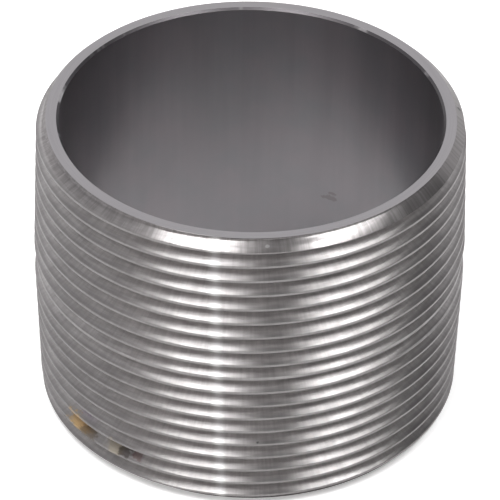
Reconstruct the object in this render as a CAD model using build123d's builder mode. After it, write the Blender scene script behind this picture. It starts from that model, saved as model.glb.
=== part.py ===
"""Close pipe nipple: a short steel tube, threaded over its whole length for two pipe fittings to meet.

It is turned and threaded in one piece, so it is one solid in one node. It stands on one end: the origin
is the centre of the lower end face and Z runs up the bore.
Millimetres.
"""

from build123d import *
import math
import os

os.makedirs("parts", exist_ok=True)

# The tube: 2 inch pipe, cut 1 3/4 inches long.
NIPPLE_LENGTH = 44.45

# The pipe thread: 11 turns to the inch, with a 1 in 16 taper on the diameter. It is cut from both ends,
# so the crests are highest where the two tapers meet, half way up.
THREADS_PER_INCH = 11
INCH = 25.4
TAPER = 1 / 16
END_CREST_DIAMETER = 58.62
# The wall at the ends, from the crests of the thread in to the bore.
END_WALL = 3.06
# The depth of the thread as a share of its pitch. The real form has 55 degree flanks and round crests
# and roots. Here each turn keeps that depth and has two faces, straight from the crest to the root.
DEPTH_SHARE = 0.6403
# The way round the tube at which the groove crosses half height, counted from +X.
THREAD_START_ANGLE = 80

# Each end has a 45 degree lead-in, so that a fitting starts on it.
END_CHAMFER = 1.35

# How far the blank is left proud of the crests, and how far the cutting tool stands out past them.
BLANK_ALLOWANCE = 0.05
TOOL_OVERRUN = 0.25
# The tool is wider than the pitch, so it cuts less than a turn at a time and never runs into itself.
TURNS_PER_CUT = 0.9

pitch = INCH / THREADS_PER_INCH
thread_depth = pitch * DEPTH_SHARE
flank_slope = pitch / 2 / thread_depth
radius_per_length = TAPER / 2
taper_angle = math.degrees(math.atan(radius_per_length))
half_length = NIPPLE_LENGTH / 2
end_crest_radius = END_CREST_DIAMETER / 2
bore_radius = end_crest_radius - END_WALL
middle_crest_radius = end_crest_radius + half_length * radius_per_length


def turned_blank():
    """The tube before it is threaded: its wall is drawn once and turned round Z."""
    middle_radius = middle_crest_radius + BLANK_ALLOWANCE
    chamfer_height = END_CHAMFER + BLANK_ALLOWANCE
    chamfer_top_radius = middle_radius - (half_length - chamfer_height) * radius_per_length
    face_radius = chamfer_top_radius - chamfer_height
    lower_half = [(bore_radius, 0), (face_radius, 0), (chamfer_top_radius, chamfer_height)]
    upper_half = [(radius, NIPPLE_LENGTH - height) for radius, height in reversed(lower_half)]
    with BuildPart() as blank:
        with BuildSketch(Plane.XZ):
            with BuildLine():
                Polyline(*lower_half, (middle_radius, half_length), *upper_half, close=True)
            make_face()
        revolve(axis=Axis.Z)
    return blank.part


def groove_cut(turn):
    """The tool's path from that many turns above half height, as the solid that it cuts away.

    The V is a pitch wide at the crests, so two turns of it leave a sharp crest between them. It goes on
    past the crests, and is carried up the helix of the tapered thread.
    """
    rise = turn * pitch
    start_height = half_length + rise
    start_radius = middle_crest_radius - rise * radius_per_length
    outer_radius = start_radius + TOOL_OVERRUN
    outer_half_width = pitch / 2 + TOOL_OVERRUN * flank_slope
    with BuildPart() as tool:
        with BuildLine() as path:
            Helix(
                pitch,
                pitch * TURNS_PER_CUT,
                start_radius,
                center=(0, 0, start_height),
                cone_angle=-taper_angle,
            )
        with BuildSketch(Plane.XZ):
            with BuildLine():
                Polyline(
                    (outer_radius, start_height - outer_half_width),
                    (start_radius - thread_depth, start_height),
                    (outer_radius, start_height + outer_half_width),
                    close=True,
                )
            make_face()
        sweep(path=path.wire(), is_frenet=True)
    return tool.part.moved(Location((0, 0, 0), (0, 0, 360 * turn)))


# The thread below half height is the upper one turned end over end about a line across the tube.
cuts_to_the_end = math.ceil(half_length / (pitch * TURNS_PER_CUT))
end_over_end = Location((0, 0, NIPPLE_LENGTH), (180, 0, 0))
start_turned = Location((0, 0, 0), (0, 0, THREAD_START_ANGLE))
with BuildPart() as nipple:
    add(turned_blank())
    for cut in range(cuts_to_the_end):
        upper_cut = groove_cut(cut * TURNS_PER_CUT)
        lower_cut = upper_cut.moved(end_over_end)
        add(upper_cut.moved(start_turned), mode=Mode.SUBTRACT)
        add(lower_cut.moved(start_turned), mode=Mode.SUBTRACT)

nipple.part.label = "nipple"
export_step(nipple.part, "parts/nipple.step")
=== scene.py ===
# %% [markdown]
# # A close pipe nipple in turned and threaded steel
#
# The object is one piece of steel: a short tube whose whole outside is a tapered pipe thread. It is pipe
# that was cut off, faced and threaded, so nearly every mark on its outside runs round the axis. The solid
# model gives the size. This script works out the thread with its true flanks and its rounded crests and
# roots, and gives each surface the finish that its tool left.

# %% Tools
import math

import bpy
import numpy as np
from mathutils import Matrix, Vector


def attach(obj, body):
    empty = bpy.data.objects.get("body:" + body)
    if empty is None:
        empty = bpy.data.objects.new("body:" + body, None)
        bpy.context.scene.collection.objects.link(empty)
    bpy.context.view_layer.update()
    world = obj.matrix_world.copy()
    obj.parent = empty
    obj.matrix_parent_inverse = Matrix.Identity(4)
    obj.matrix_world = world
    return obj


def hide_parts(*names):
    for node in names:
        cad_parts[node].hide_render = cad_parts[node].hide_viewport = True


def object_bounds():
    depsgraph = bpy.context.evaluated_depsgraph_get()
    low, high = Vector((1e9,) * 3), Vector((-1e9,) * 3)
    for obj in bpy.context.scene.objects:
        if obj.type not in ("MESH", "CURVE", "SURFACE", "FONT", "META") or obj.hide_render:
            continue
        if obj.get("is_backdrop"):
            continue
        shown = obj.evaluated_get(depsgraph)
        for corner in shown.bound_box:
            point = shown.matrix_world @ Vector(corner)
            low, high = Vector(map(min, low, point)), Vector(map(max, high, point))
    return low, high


# %% [markdown]
# ## The solid model is the ruler
#
# Its box is kept, because the finished piece has to fill the same box.

# %% Load the solid
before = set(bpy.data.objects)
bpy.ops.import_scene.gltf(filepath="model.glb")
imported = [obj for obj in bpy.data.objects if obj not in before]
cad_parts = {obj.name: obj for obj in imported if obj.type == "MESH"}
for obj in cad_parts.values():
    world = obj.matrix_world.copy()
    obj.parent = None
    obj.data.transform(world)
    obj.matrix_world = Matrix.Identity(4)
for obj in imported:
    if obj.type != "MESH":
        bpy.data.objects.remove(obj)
solid_low, solid_high = (np.array(corner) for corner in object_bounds())
solid_size = solid_high - solid_low
print("the solid is", np.round(solid_size * 1000, 3), "mm")

# %% [markdown]
# ## The sizes that the shape is worked out from
#
# The length and the widest crest come from the box. The rest are the sizes of a 2 inch taper pipe
# thread: 11 turns to the inch, flanks 55 degrees apart, and a cone that narrows 1 in 16 towards each
# end. The widest crest lies half a turn from half height, so at half height the line of the crests is
# a little further out than the box.

# %% Sizes
MM = 0.001
INCH = 25.4 * MM
THREADS_PER_INCH = 11
FLANK_HALF_ANGLE = math.radians(27.5)
TAPER_PER_LENGTH = 1 / 32
THREAD_DEPTH_SHARE = 0.6403
# The way round the tube at which the groove crosses half height, counted from +X.
THREAD_START = math.radians(80)

BORE_RADIUS = 26.25 * MM
BORE_DEBURR = 0.3 * MM
FACE_RADIUS = 28.0 * MM

pitch = INCH / THREADS_PER_INCH
length = solid_size[2]
half_length = length / 2
middle_crest_radius = solid_size[0] / 2 + pitch / 2 * TAPER_PER_LENGTH
thread_depth = pitch * THREAD_DEPTH_SHARE
print("pitch", round(pitch / MM, 3), "mm, depth", round(thread_depth / MM, 3), "mm")

# %% [markdown]
# ## A helper that turns points into a mesh
#
# Every shape below is worked out as whole arrays of points. `from_pydata` then takes the points and the
# lists of corners. The object stays at the origin, so its place is in its points.

# %% Mesh helper


def make_piece(name, points, faces):
    """A mesh object at the origin from an array of points and a list of faces."""
    mesh = bpy.data.meshes.new(name)
    mesh.from_pydata(points.reshape(-1, 3).tolist(), [], faces)
    piece = bpy.data.objects.new(name, mesh)
    bpy.context.scene.collection.objects.link(piece)
    print(name, "has", len(mesh.vertices), "points and", len(mesh.polygons), "faces")
    return piece


# %% [markdown]
# ## The shape of one turn
#
# Cut a thread along the axis and it shows the same wave again and again. The wave is two straight flanks.
# A die leaves a narrow flat on each crest with softened corners, and a round root. It could be a curve
# object, but a short list of points is easier to wind into a helix. The arcs get several points each,
# so that light rolls over them softly.

# %% One turn
CREST_CORNER = 0.12 * MM
ROOT_ROUNDING = 0.317 * MM
ARC_STEPS = 3


def turn_profile():
    """Positions along the pitch (0 to 1, from crest to crest) and depths below the crest, in metres.

    A corner of radius r that turns from flat to flank is (r sin a, r - r cos a), for a from 0 to 90
    degrees less half the flank angle. The root is the same arc turned over, about the middle of the groove.
    """
    arc = np.linspace(0, math.pi / 2 - FLANK_HALF_ANGLE, ARC_STEPS + 1)
    slope = math.tan(FLANK_HALF_ANGLE)
    root_along = pitch / 2 - ROOT_ROUNDING * np.sin(arc)[::-1]
    root_down = thread_depth - ROOT_ROUNDING * (1 - np.cos(arc))[::-1]
    corner_along = CREST_CORNER * np.sin(arc)
    corner_down = CREST_CORNER * (1 - np.cos(arc))
    flat_half = root_along[0] - (root_down[0] - corner_down[-1]) * slope - corner_along[-1]
    corner_along = corner_along + flat_half
    flank_along = (corner_along[-1] + root_along[0]) / 2
    flank_down = (corner_down[-1] + root_down[0]) / 2
    along = np.concatenate([[0], corner_along, [flank_along], root_along])
    down = np.concatenate([[0], corner_down, [flank_down], root_down])
    whole_along = np.concatenate([along, (pitch - along[::-1])[1:-1]])
    whole_down = np.concatenate([down, down[::-1][1:-1]])
    return whole_along / pitch, whole_down, flat_half * 2


turn_share, turn_down, crest_flat = turn_profile()
rows_per_turn = len(turn_share)
print("one turn has", rows_per_turn, "rows, and its crest is", round(crest_flat / MM, 3), "mm wide")

# %% [markdown]
# ## A threaded rod
#
# A thread is one long strip wound round and round. Its rows run along the helix, so a row that leaves
# at the end of one turn has to arrive as the row one pitch higher. That keeps the crests clean: no
# row ever crosses one. The rod is longer than the tube, and its ends are closed with a fan.
#
# The tube was threaded from one end and then from the other. Where the two threads meet, the second
# pass shaved the crests, so the turn at half height is lower than its neighbours.

# %% Threaded rod
STEPS_ROUND = 240
SPARE_TURNS = 1
SHAVED_DEPTH = 0.28 * MM
SHAVED_REACH = 0.85


def taper_line(height):
    """The radius at half length less 1/32 of the distance from it, to either side."""
    return middle_crest_radius - np.abs(height - half_length) * TAPER_PER_LENGTH


def threaded_rod():
    """Radius = taper line less the depth of the profile; height = pitch times (share + angle / 360).

    The grid has a row for each point of the profile on each turn, and a column for each step round.
    The shaved crests are the lower of that radius and the taper line less a dip with smooth sides.
    """
    turns = math.ceil(length / pitch) + 2 * SPARE_TURNS + 1
    row = np.arange(turns * rows_per_turn + 1)
    share = row // rows_per_turn + turn_share[row % rows_per_turn]
    down = turn_down[row % rows_per_turn]
    angle = np.arange(STEPS_ROUND) / STEPS_ROUND * 2 * math.pi
    lowest = half_length + pitch / 2 - pitch * math.ceil(half_length / pitch + SPARE_TURNS + 1)
    height = lowest + pitch * (share[:, None] + angle[None, :] / (2 * math.pi))
    from_middle = np.abs(height - half_length) / (pitch * SHAVED_REACH)
    dip = SHAVED_DEPTH * np.clip(1 - from_middle**4, -1, 1)
    line = taper_line(height)
    radius = np.minimum(line - down[:, None], line - dip)
    turned = angle[None, :] + THREAD_START
    return np.stack([radius * np.cos(turned), radius * np.sin(turned), height], axis=-1)


def strip_faces(rows, columns):
    """Four-sided faces between neighbours. The last column joins the first one, a whole turn higher."""
    row, column = np.meshgrid(np.arange(rows - 1), np.arange(columns), indexing="ij")
    here = row * columns + column
    wraps = column == columns - 1
    beside = np.where(wraps, (row + rows_per_turn) * columns, here + 1)
    inside = row + 1 + rows_per_turn * wraps < rows
    return np.stack([here, beside, beside + columns, here + columns], axis=-1)[inside]


def closing_fans(rows, columns):
    """Triangles from a middle point to each edge of the open ends. Each end has a step one turn high."""
    low_step = np.arange(rows_per_turn, 0, -1) * columns
    low_loop = np.concatenate([np.arange(columns), low_step])
    high_step = np.arange(rows - 2, rows - 2 - rows_per_turn, -1) * columns + columns - 1
    high_loop = np.concatenate([(rows - 1) * columns + np.arange(columns), high_step])
    low_middle, high_middle = rows * columns, rows * columns + 1
    low_fan = [np.full_like(low_loop, low_middle), np.roll(low_loop, -1), low_loop]
    high_fan = [np.full_like(high_loop, high_middle), high_loop, np.roll(high_loop, -1)]
    return np.stack(low_fan, axis=-1).tolist() + np.stack(high_fan, axis=-1).tolist()


grid = threaded_rod()
rows, columns = grid.shape[:2]
middles = np.array([[0, 0, grid[0, :, 2].min()], [0, 0, grid[-1, :, 2].max()]])
rod_points = np.vstack([grid.reshape(-1, 3), middles])
rod_faces = strip_faces(rows, columns).tolist() + closing_fans(rows, columns)
rod = make_piece("threaded_rod", rod_points, rod_faces)

# %% [markdown]
# ## The tube that the thread is cut on
#
# The blank has the bore, the end faces, the lead-in chamfers and the broken edges of the bore. It is a
# closed profile carried round the axis, as a lathe would turn it. The outside stands clear of the crests,
# because the thread makes that surface.

# %% Turned blank
BLANK_CLEARANCE = 1.0 * MM
CHAMFER_HEIGHT = 1.35 * MM


def turned_blank():
    """Each corner (radius, height) of the profile is carried round: (r cos a, r sin a, height).

    It starts half a step round from the rod, so that no corner of one meets a corner of the other.
    """
    outside = middle_crest_radius + BLANK_CLEARANCE
    chamfer = outside - FACE_RADIUS
    corners = [
        (BORE_RADIUS, length - BORE_DEBURR),
        (BORE_RADIUS, BORE_DEBURR),
        (BORE_RADIUS + BORE_DEBURR, 0),
        (FACE_RADIUS, 0),
        (outside, chamfer),
        (outside, length - chamfer),
        (FACE_RADIUS, length),
        (BORE_RADIUS + BORE_DEBURR, length),
    ]
    profile = np.array(corners)
    angle = (np.arange(STEPS_ROUND) + 0.5) / STEPS_ROUND * 2 * math.pi + THREAD_START
    radius, height = profile[:, 0, None], profile[:, 1, None]
    points = np.stack(
        np.broadcast_arrays(radius * np.cos(angle), radius * np.sin(angle), height), axis=-1
    )
    row, column = np.meshgrid(np.arange(len(corners)), np.arange(STEPS_ROUND), indexing="ij")
    next_row, next_column = (row + 1) % len(corners), (column + 1) % STEPS_ROUND
    corner_sets = [(row, column), (row, next_column), (next_row, next_column), (next_row, column)]
    quads = np.stack([r * STEPS_ROUND + c for r, c in corner_sets], axis=-1)
    return make_piece("turned_blank", points, quads.reshape(-1, 4).tolist())


blank = turned_blank()

# %% [markdown]
# ## Cutting one with the other
#
# Where the rod and the blank overlap is the finished tube, and a Boolean modifier finds it. The manifold
# solver is quick, and it leaves a closed mesh because both pieces are closed. The two helpers then go.
# Edges that turn by more than the sharp angle stay crisp, and the rest are shaded as one smooth surface.
# It lies between the 21 degrees that the round crests and roots turn at each step and the 27 degrees of the
# shallowest real edge, where the run-out of the thread meets an end face.

# %% Cut the tube
SHARP_ANGLE = math.radians(24)

cut = blank.modifiers.new("cut_with_the_thread", "BOOLEAN")
cut.operation = "INTERSECT"
cut.object = rod
cut.solver = "MANIFOLD"
evaluated = blank.evaluated_get(bpy.context.evaluated_depsgraph_get())
tube_mesh = bpy.data.meshes.new_from_object(evaluated)
tube_mesh.name = "threaded_tube"
tube = bpy.data.objects.new("threaded_tube", tube_mesh)
bpy.context.scene.collection.objects.link(tube)
for helper in (rod, blank):
    bpy.data.objects.remove(helper)
tube_mesh.shade_smooth()
tube_mesh.set_sharp_from_angle(angle=SHARP_ANGLE)
triangles = sum(len(face.vertices) - 2 for face in tube_mesh.polygons)
print("the tube has", triangles, "triangles")

# %% [markdown]
# ## Telling the surfaces apart
#
# One piece of steel has three finishes: the thread and its lead-in, the faced ends, and the bore, which
# is the inside of the pipe as it was made. Each face of the mesh gets the number of its finish from
# where it lies and which way it points.

# %% Sort the faces
THREAD, END, BORE = 0, 1, 2
# How far up or down a face has to point to belong to an end, where 1 is straight along the axis.
ALONG_THE_AXIS = 0.95


def finish_of_faces(mesh):
    """END where a face points along the axis, BORE where it points inwards, and THREAD elsewhere."""
    count = len(mesh.polygons)
    normals = np.empty(count * 3, np.float32)
    centres = np.empty(count * 3, np.float32)
    mesh.polygons.foreach_get("normal", normals)
    mesh.polygons.foreach_get("center", centres)
    normals, centres = normals.reshape(-1, 3), centres.reshape(-1, 3)
    radius = np.hypot(centres[:, 0], centres[:, 1])
    at_an_end = (centres[:, 2] < BORE_DEBURR) | (centres[:, 2] > length - BORE_DEBURR)
    finish = np.full(count, THREAD, np.int32)
    finish[radius < BORE_RADIUS + BORE_DEBURR] = BORE
    finish[(np.abs(normals[:, 2]) > ALONG_THE_AXIS) & at_an_end] = END
    return finish


finish = finish_of_faces(tube_mesh)
print("faces of thread, end and bore:", np.bincount(finish).tolist())

# %% [markdown]
# ## Where a point is on a round part
#
# Every mark on this part follows its axis, so the materials need to know how far round a point is, how
# high, and how deep in the thread. This group works that out once from the object's own coordinates.
# Depth is 0 on the taper line of the crests and 1 at the root.

# %% Node helpers


def add_math(tree, operation, first, second=None, third=None, clamp=False):
    """One Math node. Each input is a number or the socket of another node."""
    node = tree.nodes.new("ShaderNodeMath")
    node.operation = operation
    node.use_clamp = clamp
    for socket, value in zip(node.inputs, (first, second, third)):
        if value is None:
            continue
        if isinstance(value, bpy.types.NodeSocket):
            tree.links.new(value, socket)
        else:
            socket.default_value = value
    return node.outputs[0]


def smooth_band(tree, value, low, high, to_low=0.0, to_high=1.0):
    """Goes smoothly from one number to another as the value goes from low to high."""
    node = tree.nodes.new("ShaderNodeMapRange")
    node.interpolation_type = "SMOOTHSTEP"
    tree.links.new(value, node.inputs["Value"])
    node.inputs["From Min"].default_value = low
    node.inputs["From Max"].default_value = high
    node.inputs["To Min"].default_value = to_low
    node.inputs["To Max"].default_value = to_high
    return node.outputs["Result"]


def mix_colour(tree, mask, under, over):
    """The over colour where the mask is 1, and the under colour where it is 0."""
    node = tree.nodes.new("ShaderNodeMix")
    node.data_type = "RGBA"
    tree.links.new(mask, node.inputs["Factor"])
    for socket, value in ((node.inputs["A"], under), (node.inputs["B"], over)):
        if isinstance(value, bpy.types.NodeSocket):
            tree.links.new(value, socket)
        else:
            socket.default_value = (*value, 1)
    return node.outputs["Result"]


def away_from_half_height(tree, height):
    """How far a point is above or below half height, in millimetres."""
    return add_math(tree, "ABSOLUTE", add_math(tree, "SUBTRACT", height, half_length / MM))


def new_group(name, inputs, outputs):
    """An empty node group. Inputs are (name, kind, default) and outputs are (name, kind)."""
    group = bpy.data.node_groups.new(name, "ShaderNodeTree")
    for socket_name, kind, default in inputs:
        socket = group.interface.new_socket(socket_name, in_out="INPUT", socket_type=kind)
        socket.default_value = default
    for socket_name, kind in outputs:
        group.interface.new_socket(socket_name, in_out="OUTPUT", socket_type=kind)
    print("group", name, "puts out", [socket_name for socket_name, _ in outputs])
    return group, group.nodes.new("NodeGroupInput"), group.nodes.new("NodeGroupOutput")


def use_group(tree, group, **values):
    """Places a group in a material with its own values. A value is a number, a vector or a socket."""
    node = tree.nodes.new("ShaderNodeGroup")
    node.node_tree = group
    for name, value in values.items():
        socket = node.inputs[name.replace("_", " ")]
        if isinstance(value, bpy.types.NodeSocket):
            tree.links.new(value, socket)
        else:
            socket.default_value = value
    return node


# %% Place on the part
FLOAT, VECTOR = "NodeSocketFloat", "NodeSocketVector"


def place_group():
    """Angle in turns from +X, radius and height in millimetres, and depth in the thread from 0 to 1."""
    outputs = [("Angle", FLOAT), ("Radius", FLOAT), ("Height", FLOAT), ("Depth", FLOAT)]
    group, _, result = new_group("place_on_the_part", [], outputs)
    coordinates = group.nodes.new("ShaderNodeTexCoord")
    split = group.nodes.new("ShaderNodeSeparateXYZ")
    group.links.new(coordinates.outputs["Object"], split.inputs[0])
    x, y, z = split.outputs
    angle = add_math(group, "DIVIDE", add_math(group, "ARCTAN2", y, x), 2 * math.pi)
    squares = add_math(group, "ADD", add_math(group, "MULTIPLY", x, x), add_math(group, "MULTIPLY", y, y))
    radius = add_math(group, "DIVIDE", add_math(group, "SQRT", squares), MM)
    height = add_math(group, "DIVIDE", z, MM)
    from_middle = away_from_half_height(group, height)
    below = add_math(group, "MULTIPLY_ADD", from_middle, TAPER_PER_LENGTH, radius)
    gap = add_math(group, "SUBTRACT", middle_crest_radius / MM, below)
    depth = add_math(group, "DIVIDE", gap, thread_depth / MM, clamp=True)
    for name, value in (("Angle", angle), ("Radius", radius), ("Height", height), ("Depth", depth)):
        group.links.new(value, result.inputs[name])
    return group


place = place_group()

# %% [markdown]
# ## Tool marks
#
# A cutting tool leaves fine lines that run the way the work turned under it. Noise that is squeezed
# hard across the lines and stretched along them gives the same look, and because it is worked out from the
# angle and the distance across, the lines follow the part round. The group puts out a height for the bump
# and a gentle change of tone.

# %% Tool marks
# The noise has some fine grain in it, and the tone goes from 0 to 1 over its middle part.
NOISE_DETAIL, NOISE_GRAIN = 3.0, 0.6
TONE_FROM, TONE_TO = 0.3, 0.7


def tool_marks_group():
    """Noise on (cos angle, sin angle, across) with its own scale along and across the marks."""
    inputs = [
        ("Angle", FLOAT, 0.0),
        ("Across", FLOAT, 0.0),
        ("Marks per mm", FLOAT, 8.0),
        ("Along", FLOAT, 3.0),
    ]
    group, given, result = new_group("tool_marks", inputs, [("Height", FLOAT), ("Tone", FLOAT)])
    turn = add_math(group, "MULTIPLY", given.outputs["Angle"], 2 * math.pi)
    x = add_math(group, "MULTIPLY", add_math(group, "COSINE", turn), given.outputs["Along"])
    y = add_math(group, "MULTIPLY", add_math(group, "SINE", turn), given.outputs["Along"])
    z = add_math(group, "MULTIPLY", given.outputs["Across"], given.outputs["Marks per mm"])
    sample = group.nodes.new("ShaderNodeCombineXYZ")
    for value, socket in zip((x, y, z), sample.inputs):
        group.links.new(value, socket)
    fine = group.nodes.new("ShaderNodeTexNoise")
    fine.inputs["Scale"].default_value = 1.0
    fine.inputs["Detail"].default_value = NOISE_DETAIL
    fine.inputs["Roughness"].default_value = NOISE_GRAIN
    group.links.new(sample.outputs[0], fine.inputs["Vector"])
    group.links.new(fine.outputs["Fac"], result.inputs["Height"])
    tone = smooth_band(group, fine.outputs["Fac"], TONE_FROM, TONE_TO)
    group.links.new(tone, result.inputs["Tone"])
    return group


tool_marks = tool_marks_group()

# %% [markdown]
# ## Spots and stains
#
# Handling leaves small marks: two stains low on the left, a few dark flecks, a dark nick and a bright dot
# on the upper chamfer, and a smudge in the bore. Each one is a soft, flattened ball in space, and the mask
# is 1 where the surface passes through it. It could be painted on, but a ball needs no unwrapping. Noise
# eats into its edge so that it doesn't look drawn.

# %% Spot mask
RAGGED_NOISE_PER_METRE = 1600
SPOT_FULL, SPOT_GONE = 0.6, 1.0


def spot_group():
    """Distance = root of ((sideways / width) squared + (upwards / height) squared) + ragged (noise - 0.5).

    The mask is 1 up to SPOT_FULL of that distance and 0 from SPOT_GONE outwards.
    """
    inputs = [
        ("Centre", VECTOR, (0.0, 0.0, 0.0)),
        ("Width", FLOAT, MM),
        ("Height", FLOAT, MM),
        ("Ragged", FLOAT, 0.5),
    ]
    group, given, result = new_group("spot", inputs, [("Mask", FLOAT)])
    coordinates = group.nodes.new("ShaderNodeTexCoord")
    away = group.nodes.new("ShaderNodeVectorMath")
    away.operation = "SUBTRACT"
    group.links.new(coordinates.outputs["Object"], away.inputs[0])
    group.links.new(given.outputs["Centre"], away.inputs[1])
    split = group.nodes.new("ShaderNodeSeparateXYZ")
    group.links.new(away.outputs[0], split.inputs[0])
    x, y, z = split.outputs
    flat = add_math(group, "ADD", add_math(group, "MULTIPLY", x, x), add_math(group, "MULTIPLY", y, y))
    sideways = add_math(group, "DIVIDE", add_math(group, "SQRT", flat), given.outputs["Width"])
    upwards = add_math(group, "DIVIDE", z, given.outputs["Height"])
    sideways_squared = add_math(group, "MULTIPLY", sideways, sideways)
    upwards_squared = add_math(group, "MULTIPLY", upwards, upwards)
    squares = add_math(group, "ADD", sideways_squared, upwards_squared)
    distance = add_math(group, "SQRT", squares)
    noise = group.nodes.new("ShaderNodeTexNoise")
    noise.inputs["Scale"].default_value = RAGGED_NOISE_PER_METRE
    noise.inputs["Detail"].default_value = NOISE_DETAIL
    group.links.new(coordinates.outputs["Object"], noise.inputs["Vector"])
    wobble = add_math(group, "SUBTRACT", noise.outputs["Fac"], 0.5)
    edge = add_math(group, "MULTIPLY_ADD", wobble, given.outputs["Ragged"], distance)
    group.links.new(smooth_band(group, edge, SPOT_FULL, SPOT_GONE, 1.0, 0.0), result.inputs["Mask"])
    return group


spot = spot_group()


def add_spot(tree, centre, width, height, ragged, strength):
    """The mask of one spot, with its sizes in millimetres, times its strength."""
    mask = use_group(tree, spot, Centre=centre, Width=width * MM, Height=height * MM, Ragged=ragged)
    return add_math(tree, "MULTIPLY", mask.outputs["Mask"], strength)


def on_the_thread(degrees, depth_below_top, sunk):
    """The point on the outside at an angle from +X and a depth below the upper end, in millimetres.

    The radius is that of the taper line or of the upper chamfer, whichever is smaller, less how far the
    point is sunk.
    """
    height = length - depth_below_top * MM
    radius = min(taper_line(height), FACE_RADIUS + depth_below_top * MM) - sunk * MM
    angle = math.radians(degrees)
    return (radius * math.cos(angle), radius * math.sin(angle), height)


def in_the_bore(degrees, depth_below_top):
    """The point on the bore at an angle from +X and a depth below the upper end, in millimetres."""
    angle = math.radians(degrees)
    return (BORE_RADIUS * math.cos(angle), BORE_RADIUS * math.sin(angle), length - depth_below_top * MM)


# %% [markdown]
# ## What every steel has
#
# Bare steel is a metal with a grey base colour. Where it was turned, its gloss is stretched across the tool
# marks. Cycles does that with the Anisotropic value and a tangent that runs round the Z axis: a lamp's
# reflection becomes a streak along the axis, and its edges stay crisp round the part. Painted streaks
# would stay put when the part is seen from elsewhere, and these move as real ones do.

# %% Steel helpers
# A quarter turn of the stretch makes it run across the tangent.
ACROSS_THE_TANGENT = 0.25


def new_steel(name, roughness, anisotropy):
    """A metal material. Anisotropy above 0 stretches its gloss across marks that run round the Z axis."""
    material = bpy.data.materials.new(name)
    material.use_nodes = True
    tree = material.node_tree
    shader = tree.nodes["Principled BSDF"]
    shader.inputs["Metallic"].default_value = 1
    shader.inputs["Roughness"].default_value = roughness
    shader.inputs["Anisotropic"].default_value = anisotropy
    if anisotropy:
        shader.inputs["Anisotropic Rotation"].default_value = ACROSS_THE_TANGENT
        tangent = tree.nodes.new("ShaderNodeTangent")
        tangent.direction_type = "RADIAL"
        tangent.axis = "Z"
        tree.links.new(tangent.outputs[0], shader.inputs["Tangent"])
    return material, tree, shader


def add_bump(tree, shader, height, distance, strength):
    """Feeds a height into the shader's normal."""
    bump = tree.nodes.new("ShaderNodeBump")
    bump.inputs["Distance"].default_value = distance
    bump.inputs["Strength"].default_value = strength
    tree.links.new(height, bump.inputs["Height"])
    tree.links.new(bump.outputs[0], shader.inputs["Normal"])


# %% [markdown]
# ## The steel of the thread
#
# The flanks are painted a lighter grey than the crests, as painted light that lifts the shade of the
# grooves, and the very root is painted darker, as painted shade. The lead-in chamfers were turned by
# another tool, so they have their own grey and a little more gloss. Fine streaks run along the thread, and
# small upright ticks show where the tool trembled, more so on the chamfers.

# %% Greys of the thread
# The lighter flank grey is painted light and the darker root grey is painted shade; the crest grey is the
# steel's own.
CREST_COLOUR = (0.335, 0.325, 0.324)
FLANK_PAINTED_LIGHT_COLOUR = (0.55, 0.534, 0.532)
ROOT_PAINTED_SHADE_COLOUR = (0.28, 0.268, 0.267)
CHAMFER_COLOUR = (0.36, 0.346, 0.345)
WORN_COLOUR = (0.20, 0.19, 0.19)
# Depth in the thread at which each grey starts and is full.
FLANK_LIGHT_FROM, FLANK_LIGHT_FULL = 0.10, 0.50
ROOT_SHADE_FROM, ROOT_SHADE_FULL = 0.90, 1.0
CHAMFER_BLEND = 0.1
STREAK_STRENGTH = 0.40
TICKS_ON_THREAD, TICKS_ON_CHAMFER = 0.30, 0.75


def greys_of_the_thread(tree, depth, on_chamfer, streak_tone, tick_tone):
    """Crest, flank with painted light and root with painted shade by depth, then the chamfer, then streaks
    and ticks of the worn grey.
    """
    # Painted light makes the flanks lighter, and painted shade makes the root darker.
    painted_flank_light = smooth_band(tree, depth, FLANK_LIGHT_FROM, FLANK_LIGHT_FULL)
    colour = mix_colour(tree, painted_flank_light, CREST_COLOUR, FLANK_PAINTED_LIGHT_COLOUR)
    painted_root_shade = smooth_band(tree, depth, ROOT_SHADE_FROM, ROOT_SHADE_FULL)
    colour = mix_colour(tree, painted_root_shade, colour, ROOT_PAINTED_SHADE_COLOUR)
    colour = mix_colour(tree, on_chamfer, colour, CHAMFER_COLOUR)
    streaks = add_math(tree, "MULTIPLY", streak_tone, STREAK_STRENGTH)
    colour = mix_colour(tree, streaks, colour, WORN_COLOUR)
    tick_strength = smooth_band(tree, on_chamfer, 0.0, 1.0, TICKS_ON_THREAD, TICKS_ON_CHAMFER)
    ticks = add_math(tree, "MULTIPLY", tick_tone, tick_strength)
    return mix_colour(tree, ticks, colour, WORN_COLOUR)


# %% [markdown]
# ## The pale line up the front
#
# The pipe is taken to be rolled from strip and welded, and the weld takes the tool differently. It shows as
# a soft pale line from top to bottom, also in the grooves. From top to bottom it shifts by less than three
# degrees round the axis, and it wanders a little. A groove in the mesh would be too crisp, so it is a mask
# on the angle.

# %% Weld line
SEAM_COLOUR = (0.75, 0.75, 0.75)
SEAM_TOP_DEGREES, SEAM_FOOT_DEGREES, SEAM_HALF_WIDTH = -99.4, -96.8, 2.3
SEAM_STRENGTH = 0.55
# How far it strays to either side, in turns.
SEAM_WANDER = 0.0015
# How much of it is frosted, and so scatters light as paper does.
SEAM_FROST = 0.6


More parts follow.
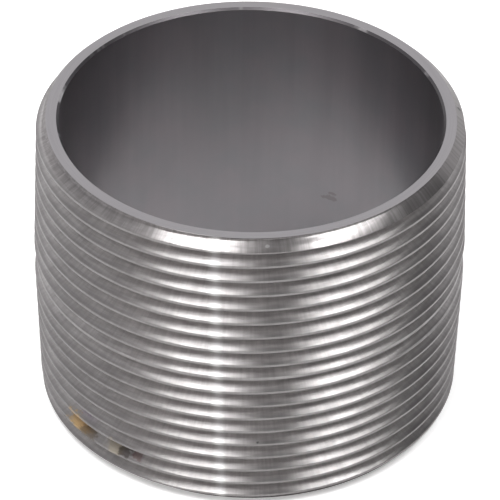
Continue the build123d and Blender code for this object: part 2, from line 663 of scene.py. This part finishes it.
def weld_line(tree, angle, height, wobble):
    """SEAM_STRENGTH on the line, fading to 0 at its half width.

    A point is off the line by angle - (foot + lean times share up + wander), all in turns.
    """
    share_up = add_math(tree, "DIVIDE", height, length / MM)
    lean = (SEAM_TOP_DEGREES - SEAM_FOOT_DEGREES) / 360
    straight = add_math(tree, "MULTIPLY_ADD", share_up, lean, SEAM_FOOT_DEGREES / 360)
    wander = add_math(tree, "MULTIPLY_ADD", wobble, 2 * SEAM_WANDER, -SEAM_WANDER)
    middle = add_math(tree, "ADD", straight, wander)
    off_line = add_math(tree, "ABSOLUTE", add_math(tree, "SUBTRACT", angle, middle))
    return smooth_band(tree, off_line, 0, SEAM_HALF_WIDTH / 360, SEAM_STRENGTH, 0.0)


# %% [markdown]
# ## Where the stains and flecks are
#
# A stain covers the metal, so it takes away from the Metallic value as well as changing the colour. Three
# spots make up each of the two stains. A fleck is a small pit or a bruise, and only its grey differs. The
# last two flecks are on the side that the camera doesn't see.

# %% Stains and flecks
STAINS = [
    # degrees, mm below the top, width mm, height mm, colour
    (-141.0, 37.2, 2.2, 1.0, (0.30, 0.24, 0.33)),
    (-143.5, 39.8, 3.2, 1.7, (0.50, 0.32, 0.11)),
    (-139.0, 40.7, 2.2, 0.9, (0.10, 0.075, 0.05)),
    (-128.8, 39.9, 2.1, 1.5, (0.36, 0.32, 0.25)),
    (-125.2, 40.1, 1.5, 0.9, (0.03, 0.02, 0.018)),
    (-121.3, 40.0, 1.2, 0.6, (0.15, 0.09, 0.09)),
]
FLECKS = [
    # degrees, mm below the top, width mm, grey
    (-127.0, 7.6, 0.40, 0.05),
    (-83.0, 16.3, 0.30, 0.12),
    (-87.0, 33.3, 0.34, 0.05),
    (-106.0, 37.8, 0.30, 0.08),
    (-85.3, 0.75, 0.38, 0.55),
    (6.0, 0.6, 0.50, 0.02),
    (40.0, 10.0, 0.40, 0.06),
    (110.0, 31.0, 0.45, 0.06),
]
STAIN_SUNK, STAIN_RAGGED, STAIN_STRENGTH = 0.4, 1.2, 0.75
FLECK_SUNK, FLECK_RAGGED, FLECK_STRENGTH = 0.1, 1.4, 0.8
FLECK_HEIGHT_SHARE = 0.7


def stain_and_fleck(tree, colour, covered):
    """Lays each stain and fleck over the colour. Covered grows to the stains' masks."""
    for degrees, below, width, tall, tint in STAINS:
        centre = on_the_thread(degrees, below, STAIN_SUNK)
        share = add_spot(tree, centre, width, tall, STAIN_RAGGED, STAIN_STRENGTH)
        colour = mix_colour(tree, share, colour, tint)
        covered = add_math(tree, "MAXIMUM", covered, share)
    for degrees, below, width, grey in FLECKS:
        centre = on_the_thread(degrees, below, FLECK_SUNK)
        share = add_spot(tree, centre, width, FLECK_HEIGHT_SHARE * width, FLECK_RAGGED, FLECK_STRENGTH)
        colour = mix_colour(tree, share, colour, (grey, grey, grey))
    return colour, covered


print(len(STAINS), "stain spots and", len(FLECKS), "flecks")

# %% [markdown]
# ## Putting the thread's steel together
#
# One noise makes the fine streaks, one the slow changes of gloss and the weld line's wander, and one the
# ticks. They differ only in how many marks there are across and along the turning, so they share a group.

# %% Steel of the thread
THREAD_ROUGHNESS, ROUGHNESS_BELOW, ROUGHNESS_SPREAD = 0.36, 0.04, 0.09
CHAMFER_SMOOTHER = -0.04
THREAD_ANISOTROPY = 0.85
COVER_TAKES_METAL = -0.9
STREAK_RELIEF, STREAK_RELIEF_STRENGTH = 0.05 * MM, 0.5


def thread_steel():
    """Greys, weld line, stains and flecks; metal less what is covered; gloss from slow patches."""
    material, tree, shader = new_steel("steel_of_the_thread", THREAD_ROUGHNESS, THREAD_ANISOTROPY)
    here = use_group(tree, place)
    angle, height, depth = (here.outputs[name] for name in ("Angle", "Height", "Depth"))
    across = add_math(tree, "ADD", height, here.outputs["Radius"])
    streaks = use_group(tree, tool_marks, Angle=angle, Across=across, Marks_per_mm=5.0, Along=7.0)
    patches = use_group(tree, tool_marks, Angle=angle, Across=across, Marks_per_mm=0.9, Along=9.0)
    ticks = use_group(tree, tool_marks, Angle=angle, Across=across, Marks_per_mm=0.45, Along=60.0)
    chamfer_foot = (half_length - CHAMFER_HEIGHT) / MM
    from_middle = away_from_half_height(tree, height)
    on_chamfer = smooth_band(
        tree, from_middle, chamfer_foot - CHAMFER_BLEND, chamfer_foot + CHAMFER_BLEND
    )

    colour = greys_of_the_thread(tree, depth, on_chamfer, streaks.outputs["Tone"], ticks.outputs["Tone"])
    seam = weld_line(tree, angle, height, patches.outputs["Height"])
    colour = mix_colour(tree, seam, colour, SEAM_COLOUR)
    frosted = add_math(tree, "MULTIPLY", seam, SEAM_FROST)
    colour, covered = stain_and_fleck(tree, colour, frosted)
    tree.links.new(colour, shader.inputs["Base Color"])

    metal = add_math(tree, "MULTIPLY_ADD", covered, COVER_TAKES_METAL, 1.0)
    tree.links.new(metal, shader.inputs["Metallic"])
    lowest = THREAD_ROUGHNESS - ROUGHNESS_BELOW
    rough = add_math(tree, "MULTIPLY_ADD", patches.outputs["Tone"], ROUGHNESS_SPREAD, lowest)
    rough = add_math(tree, "MULTIPLY_ADD", on_chamfer, CHAMFER_SMOOTHER, rough)
    tree.links.new(rough, shader.inputs["Roughness"])
    add_bump(tree, shader, streaks.outputs["Height"], STREAK_RELIEF, STREAK_RELIEF_STRENGTH)
    return material


# %% [markdown]
# ## The steel of the end faces
#
# The ends were faced on the lathe, so their marks are fine rings. The gloss isn't stretched here: the
# faces are narrow, and in the light they look like an even, slightly violet grey.

# %% Steel of the end faces
END_ROUGHNESS = 0.32
END_COLOUR, END_RING_COLOUR, END_RING_STRENGTH = (0.345, 0.335, 0.345), (0.27, 0.26, 0.27), 0.35
END_RELIEF, END_RELIEF_STRENGTH = 0.02 * MM, 0.4


def end_steel():
    """Rings of a darker grey, from noise whose marks lie across the radius."""
    material, tree, shader = new_steel("steel_of_the_end_faces", END_ROUGHNESS, 0.0)
    here = use_group(tree, place)
    angle, radius = here.outputs["Angle"], here.outputs["Radius"]
    rings = use_group(tree, tool_marks, Angle=angle, Across=radius, Marks_per_mm=7.0, Along=3.0)
    tone = add_math(tree, "MULTIPLY", rings.outputs["Tone"], END_RING_STRENGTH)
    colour = mix_colour(tree, tone, END_COLOUR, END_RING_COLOUR)
    tree.links.new(colour, shader.inputs["Base Color"])
    add_bump(tree, shader, rings.outputs["Height"], END_RELIEF, END_RELIEF_STRENGTH)
    return material


# %% [markdown]
# ## The steel of the bore
#
# The bore is the inside of the pipe as it was made, and the pipe ran along its axis through the rollers. So
# its marks are faint upright bands and lines, over a cloudy change of tone. The lower part is duller, and
# there is a small smudge. The broken edge at each end is a dark line, with a few painted glints on it:
# lighter patches of grey that stand in for the light it catches.

# %% Steel of the bore
BORE_ROUGHNESS = 0.36
BORE_WARM_COLOUR, BORE_COOL_COLOUR = (0.335, 0.310, 0.325), (0.305, 0.300, 0.314)
BORE_LOW_COLOUR, BORE_BAND_COLOUR = (0.17, 0.162, 0.17), (0.23, 0.22, 0.23)
BORE_LOW_HEIGHT, BORE_HIGH_HEIGHT, BORE_LOW_STRENGTH = 6.0, 34.0, 0.45
BAND_STRENGTH, LINE_STRENGTH = 0.32, 0.10
BAND_RELIEF, BAND_RELIEF_STRENGTH = 0.10 * MM, 0.3
SMUDGES = [
    # degrees, mm below the top, width mm, height mm
    (64.0, 31.1, 1.6, 0.5),
    (63.0, 30.2, 0.7, 0.3),
]
SMUDGE_COLOUR, SMUDGE_RAGGED, SMUDGE_STRENGTH = (0.12, 0.09, 0.095), 1.5, 0.35
# The broken edge is a dark grey, and the lighter grey on it is painted glints.
EDGE_COLOUR, PAINTED_GLINT_COLOUR = (0.10, 0.095, 0.10), (0.50, 0.49, 0.50)
EDGE_BLEND = 0.02
PAINTED_GLINT_FROM, PAINTED_GLINT_FULL = 0.55, 0.68


def edge_of_the_bore(tree, height, cloud_height, colour):
    """Lays the dark line with its painted glints over the colour, on the broken edge at each end."""
    edge_start = (half_length - BORE_DEBURR) / MM
    from_middle = away_from_half_height(tree, height)
    on_edge = smooth_band(tree, from_middle, edge_start - EDGE_BLEND, edge_start + EDGE_BLEND)
    # Painted glints: lighter grey where the cloud noise is high, standing in for light caught by the edge.
    painted_glints = smooth_band(tree, cloud_height, PAINTED_GLINT_FROM, PAINTED_GLINT_FULL)
    edge_colour = mix_colour(tree, painted_glints, EDGE_COLOUR, PAINTED_GLINT_COLOUR)
    return mix_colour(tree, on_edge, colour, edge_colour)


def bore_steel():
    """Cloud, duller lower part, bands, fine lines, smudge and broken edges, one over the other."""
    material, tree, shader = new_steel("steel_of_the_bore", BORE_ROUGHNESS, 0.0)
    here = use_group(tree, place)
    angle, height = here.outputs["Angle"], here.outputs["Height"]
    lines = use_group(tree, tool_marks, Angle=angle, Across=height, Marks_per_mm=0.015, Along=24.0)
    bands = use_group(tree, tool_marks, Angle=angle, Across=height, Marks_per_mm=0.02, Along=6.0)
    cloud = use_group(tree, tool_marks, Angle=angle, Across=height, Marks_per_mm=0.15, Along=4.0)

    colour = mix_colour(tree, cloud.outputs["Tone"], BORE_WARM_COLOUR, BORE_COOL_COLOUR)
    low_down = smooth_band(tree, height, BORE_LOW_HEIGHT, BORE_HIGH_HEIGHT, BORE_LOW_STRENGTH, 0.0)
    colour = mix_colour(tree, low_down, colour, BORE_LOW_COLOUR)
    band_share = add_math(tree, "MULTIPLY", bands.outputs["Tone"], BAND_STRENGTH)
    colour = mix_colour(tree, band_share, colour, BORE_BAND_COLOUR)
    line_share = add_math(tree, "MULTIPLY", lines.outputs["Tone"], LINE_STRENGTH)
    colour = mix_colour(tree, line_share, colour, BORE_BAND_COLOUR)
    for degrees, below, width, tall in SMUDGES:
        centre = in_the_bore(degrees, below)
        share = add_spot(tree, centre, width, tall, SMUDGE_RAGGED, SMUDGE_STRENGTH)
        colour = mix_colour(tree, share, colour, SMUDGE_COLOUR)
    colour = edge_of_the_bore(tree, height, cloud.outputs["Height"], colour)
    tree.links.new(colour, shader.inputs["Base Color"])
    add_bump(tree, shader, bands.outputs["Height"], BAND_RELIEF, BAND_RELIEF_STRENGTH)
    return material


# %% [markdown]
# ## Finishes on, and tied to the solid
#
# The three materials go on in the order of the numbers that the faces were given. The tube then rides on
# the solid's one body and stands in for its one node.

# %% Give the tube its finishes
tube_mesh.materials.clear()
for material in (thread_steel(), end_steel(), bore_steel()):
    tube_mesh.materials.append(material)
    print(material.name, "has", len(material.node_tree.nodes), "nodes")
tube_mesh.polygons.foreach_set("material_index", finish)
tube_mesh.update()
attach(tube, "root")
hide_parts("nipple")

# %% [markdown]
# ## A white studio
#
# The part stands on white paper. The paper is plain and matt. A little glow, for the camera alone,
# brings it up to white, and it keeps the shadow.

# %% Paper
PAPER_HALF_WIDTH = 3.0
PAPER_WHITE, PAPER_ROUGHNESS, PAPER_GLOW = 0.85, 0.9, 0.35
paper_points = np.array([(-1, -1, 0), (1, -1, 0), (1, 1, 0), (-1, 1, 0)]) * PAPER_HALF_WIDTH
paper = make_piece("paper", paper_points, [(0, 1, 2, 3)])
paper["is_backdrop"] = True
paper_white = bpy.data.materials.new("white_paper")
paper_white.use_nodes = True
paper_tree = paper_white.node_tree
paper_shader = paper_tree.nodes["Principled BSDF"]
paper_shader.inputs["Base Color"].default_value = (PAPER_WHITE, PAPER_WHITE, PAPER_WHITE, 1)
paper_shader.inputs["Roughness"].default_value = PAPER_ROUGHNESS
paper_shader.inputs["Emission Color"].default_value = (1, 1, 1, 1)
paper_path = paper_tree.nodes.new("ShaderNodeLightPath")
glow = add_math(paper_tree, "MULTIPLY", paper_path.outputs["Is Camera Ray"], PAPER_GLOW)
paper_tree.links.new(glow, paper_shader.inputs["Emission Strength"])
paper.data.materials.append(paper_white)

# %% [markdown]
# ## Two softboxes
#
# Round bright metal shows its lamps more than its own colour. Two wide softboxes hang above and a little in
# front of the part, one to the left and one to the right, with a gap between them. Each turns into a
# bright streak up the thread, and the gap is the grey band between the streaks.

# %% Softboxes
LAMP_HEIGHT = 0.8


def softbox(name, position, size, power):
    """A rectangular lamp that hangs level above the part and shines straight down."""
    lamp = bpy.data.lights.new(name, "AREA")
    lamp.shape = "RECTANGLE"
    lamp.size, lamp.size_y = size
    lamp.energy = power
    holder = bpy.data.objects.new(name, lamp)
    holder.location = (*position, LAMP_HEIGHT)
    bpy.context.scene.collection.objects.link(holder)
    print(name, "hangs at", position)


softbox("left_softbox", position=(-0.22, -0.26), size=(0.30, 0.56), power=5.1)
softbox("right_softbox", position=(0.395, -0.16), size=(0.25, 0.60), power=5.4)

# %% [markdown]
# ## The room
#
# The camera sees plain white behind the part. The metal sees the room: bright behind the part and a little
# less so towards the right, dimmer on the left, dark on the right, and dimmer again and slightly warm in
# front, where the photographer stands. A picture of a room would do this too, but a few smooth steps in the
# direction are enough.

# %% Room
# The steps lie in the X and Y of the direction, from -1 to 1. X is to the right and Y to the back.
BEHIND_FROM, BEHIND_FULL = 0.25, 0.62
RIGHT_FROM, RIGHT_FULL, RIGHT_LEVEL = 0.05, 0.5, 0.78
SIDE_REACH, LEFT_SIDE_LEVEL, RIGHT_SIDE_LEVEL = 0.3, 0.67, 0.14
FRONT_FULL, FRONT_FROM, FRONT_LEVEL = -0.6, 0.0, 0.62
WARM_FULL, WARM_FROM = -0.75, -0.05
ROOM_COLOUR, WARM_ROOM_COLOUR, SEEN_WHITE = (1.0, 0.985, 1.0), (1.0, 0.90, 0.885), (1.0, 1.0, 1.0)

world = bpy.data.worlds.new("studio")
bpy.context.scene.world = world
world.use_nodes = True
room = world.node_tree
background = room.nodes["Background"]
room_path = room.nodes.new("ShaderNodeLightPath")
direction = room.nodes.new("ShaderNodeTexCoord")
room_split = room.nodes.new("ShaderNodeSeparateXYZ")
room.links.new(direction.outputs["Generated"], room_split.inputs[0])
to_right, to_back = room_split.outputs["X"], room_split.outputs["Y"]

behind = smooth_band(room, to_back, BEHIND_FROM, BEHIND_FULL)
right_is_dimmer = smooth_band(room, to_right, RIGHT_FROM, RIGHT_FULL, 1.0, RIGHT_LEVEL)
behind = add_math(room, "MULTIPLY", behind, right_is_dimmer)
sides = smooth_band(room, to_right, -SIDE_REACH, SIDE_REACH, LEFT_SIDE_LEVEL, RIGHT_SIDE_LEVEL)
front_is_dimmer = smooth_band(room, to_back, FRONT_FULL, FRONT_FROM, FRONT_LEVEL, 1.0)
sides = add_math(room, "MULTIPLY", sides, front_is_dimmer)
level = add_math(room, "MAXIMUM", behind, sides)
level = add_math(room, "MAXIMUM", level, room_path.outputs["Is Camera Ray"])
room.links.new(level, background.inputs["Strength"])

in_front = smooth_band(room, to_back, WARM_FULL, WARM_FROM, 1.0, 0.0)
tint = mix_colour(room, in_front, ROOM_COLOUR, WARM_ROOM_COLOUR)
tint = mix_colour(room, room_path.outputs["Is Camera Ray"], tint, SEEN_WHITE)
room.links.new(tint, background.inputs["Color"])
print("the room has", len(room.nodes), "nodes")

# %% [markdown]
# ## The camera
#
# The camera looks along +Y and down from a good half metre with a long lens, and leans over by less than
# a degree. Its place was found by matching the rim, the sides and the crests of the thread.

# %% Camera
CAMERA_AIM = Vector((0.083 * MM, 0, 21.45 * MM))
CAMERA_DISTANCE = 555.0 * MM
CAMERA_ELEVATION = math.radians(37.10)
CAMERA_ROLL = math.radians(0.814)
SENSOR_WIDTH = 36
FOCAL_LENGTH_PIXELS = 3976.5
PICTURE_PIXELS = 500
NEAREST_SEEN = 50 * MM

camera_data = bpy.data.cameras.new("camera")
camera_data.sensor_width = SENSOR_WIDTH
camera_data.lens = FOCAL_LENGTH_PIXELS / PICTURE_PIXELS * SENSOR_WIDTH
camera_data.clip_start = NEAREST_SEEN
camera = bpy.data.objects.new("camera", camera_data)
bpy.context.scene.collection.objects.link(camera)
back = Vector((0, -math.cos(CAMERA_ELEVATION), math.sin(CAMERA_ELEVATION)))
level_right = Vector((1, 0, 0))
level_up = back.cross(level_right)
right = level_right * math.cos(CAMERA_ROLL) + level_up * math.sin(CAMERA_ROLL)
up = level_up * math.cos(CAMERA_ROLL) - level_right * math.sin(CAMERA_ROLL)
turned = Matrix((right, up, back)).transposed().to_4x4()
turned.translation = CAMERA_AIM + back * CAMERA_DISTANCE
camera.matrix_world = turned
bpy.context.scene.camera = camera
bpy.context.scene.view_settings.view_transform = "Standard"
print("the lens is", round(camera_data.lens), "mm long")
